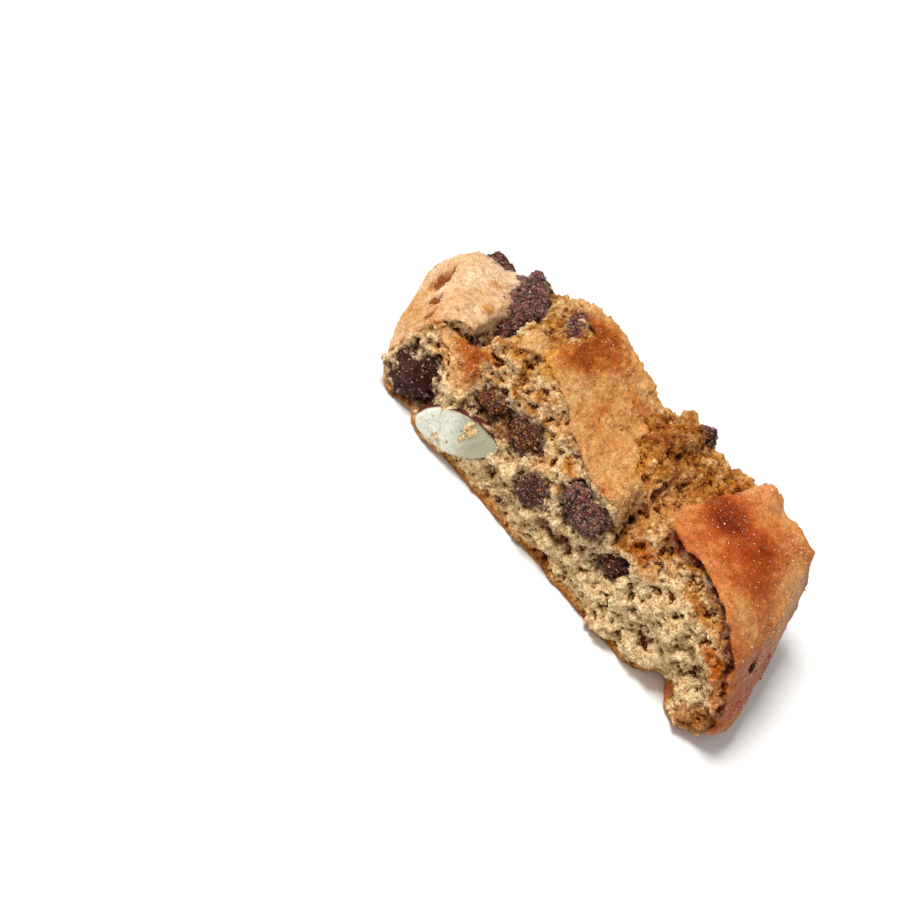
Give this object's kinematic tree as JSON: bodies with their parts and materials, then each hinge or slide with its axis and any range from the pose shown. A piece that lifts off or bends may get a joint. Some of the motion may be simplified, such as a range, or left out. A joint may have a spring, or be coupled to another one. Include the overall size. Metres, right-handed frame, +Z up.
{
  "type": "almond and chocolate biscotto",
  "caption": "Slice of a twice-baked almond and chocolate log: browned cracked crust on top and ends, rough cut crumb at the sides, lying on its flat baked base.",
  "frame": {"origin": "on the flat baked base, under the middle of the slice's length and thickness", "axes": "+X along the slice, towards its smooth-crusted end; +Y from the front cut face to the back one; +Z up from the baked base"},
  "size_m": [0.0932, 0.0333, 0.0278],
  "materials": {
    "crumb": "matte, rough baked crumb under a browned crust",
    "chocolate": "dull, crumbly, with a few glossy breaks",
    "almond": "smooth cut nut with a thin brown skin"
  },
  "bodies": {
    "root": {"biscuit": "crumb", "almond_front": "almond", "almond_back": "almond", "chocolate_left_end": "chocolate", "chocolate_crescent": "chocolate", "chocolate_back_corner": "chocolate", "chocolate_top_spot": "chocolate", "chocolate_front_large": "chocolate", "chocolate_front_small": "chocolate", "chocolate_recess_right": "chocolate", "chocolate_recess_left": "chocolate", "chocolate_cleft": "chocolate", "chocolate_rear_ridge": "chocolate", "chocolate_back_left": "chocolate", "chocolate_back_right": "chocolate"}
  },
  "joints": []
}
